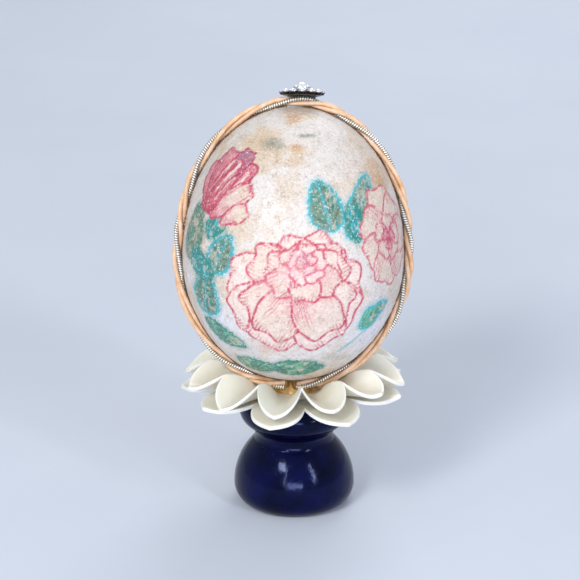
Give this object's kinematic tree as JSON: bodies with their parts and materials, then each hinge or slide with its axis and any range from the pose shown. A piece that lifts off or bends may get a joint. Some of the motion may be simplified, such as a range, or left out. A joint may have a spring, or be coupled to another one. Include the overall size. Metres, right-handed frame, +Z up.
{
  "type": "decorated egg ornament",
  "caption": "Blown egg covered with printed rose paper, bound with twisted cord and topped by a rhinestone finial, glued in a moulded flower on a small turned stand.",
  "frame": {"origin": "centre of the stand's flat foot, on the surface that it rests on", "axes": "+Z up along the stand's axis; -Y towards the decorated front; +X to the right seen from the front"},
  "size_m": [0.049, 0.0467, 0.087],
  "materials": {
    "stand_lacquer": "high-gloss navy-black lacquer on turned wood",
    "flower_ivory": "semi-gloss moulded ivory plastic with paler rims",
    "amber_glue": "glossy amber craft glue",
    "eggshell": "matt natural eggshell",
    "rose_paper": "varnished, lightly crackled printed paper with crimson roses and teal leaves",
    "peach_satin": "smooth satin rattail cord",
    "silver_purl": "metallic wire-wrapped cord, fine ribbed",
    "silver_metal": "bright silver-plated setting, dark in the recesses",
    "rhinestone": "clear foil-backed faceted glass"
  },
  "bodies": {
    "root": {"turned_stand": "stand_lacquer", "lower_petal_tier": "flower_ivory", "upper_petal_tier": "flower_ivory", "glue_bed": "amber_glue", "egg_shell": "eggshell", "rose_paper_front": "rose_paper", "rose_paper_back": "rose_paper", "peach_cord_a": "peach_satin", "peach_cord_b": "peach_satin", "silver_purl_cord": "silver_purl", "finial_glue": "amber_glue", "finial_setting": "silver_metal", "finial_centre_stone": "rhinestone", "finial_ring_stone_01": "rhinestone", "finial_ring_stone_02": "rhinestone", "finial_ring_stone_03": "rhinestone", "finial_ring_stone_04": "rhinestone", "finial_ring_stone_05": "rhinestone", "finial_ring_stone_06": "rhinestone", "finial_ring_stone_07": "rhinestone", "finial_ring_stone_08": "rhinestone", "finial_ring_stone_09": "rhinestone", "finial_ring_stone_10": "rhinestone", "finial_ring_stone_11": "rhinestone", "finial_ring_stone_12": "rhinestone"}
  },
  "joints": []
}
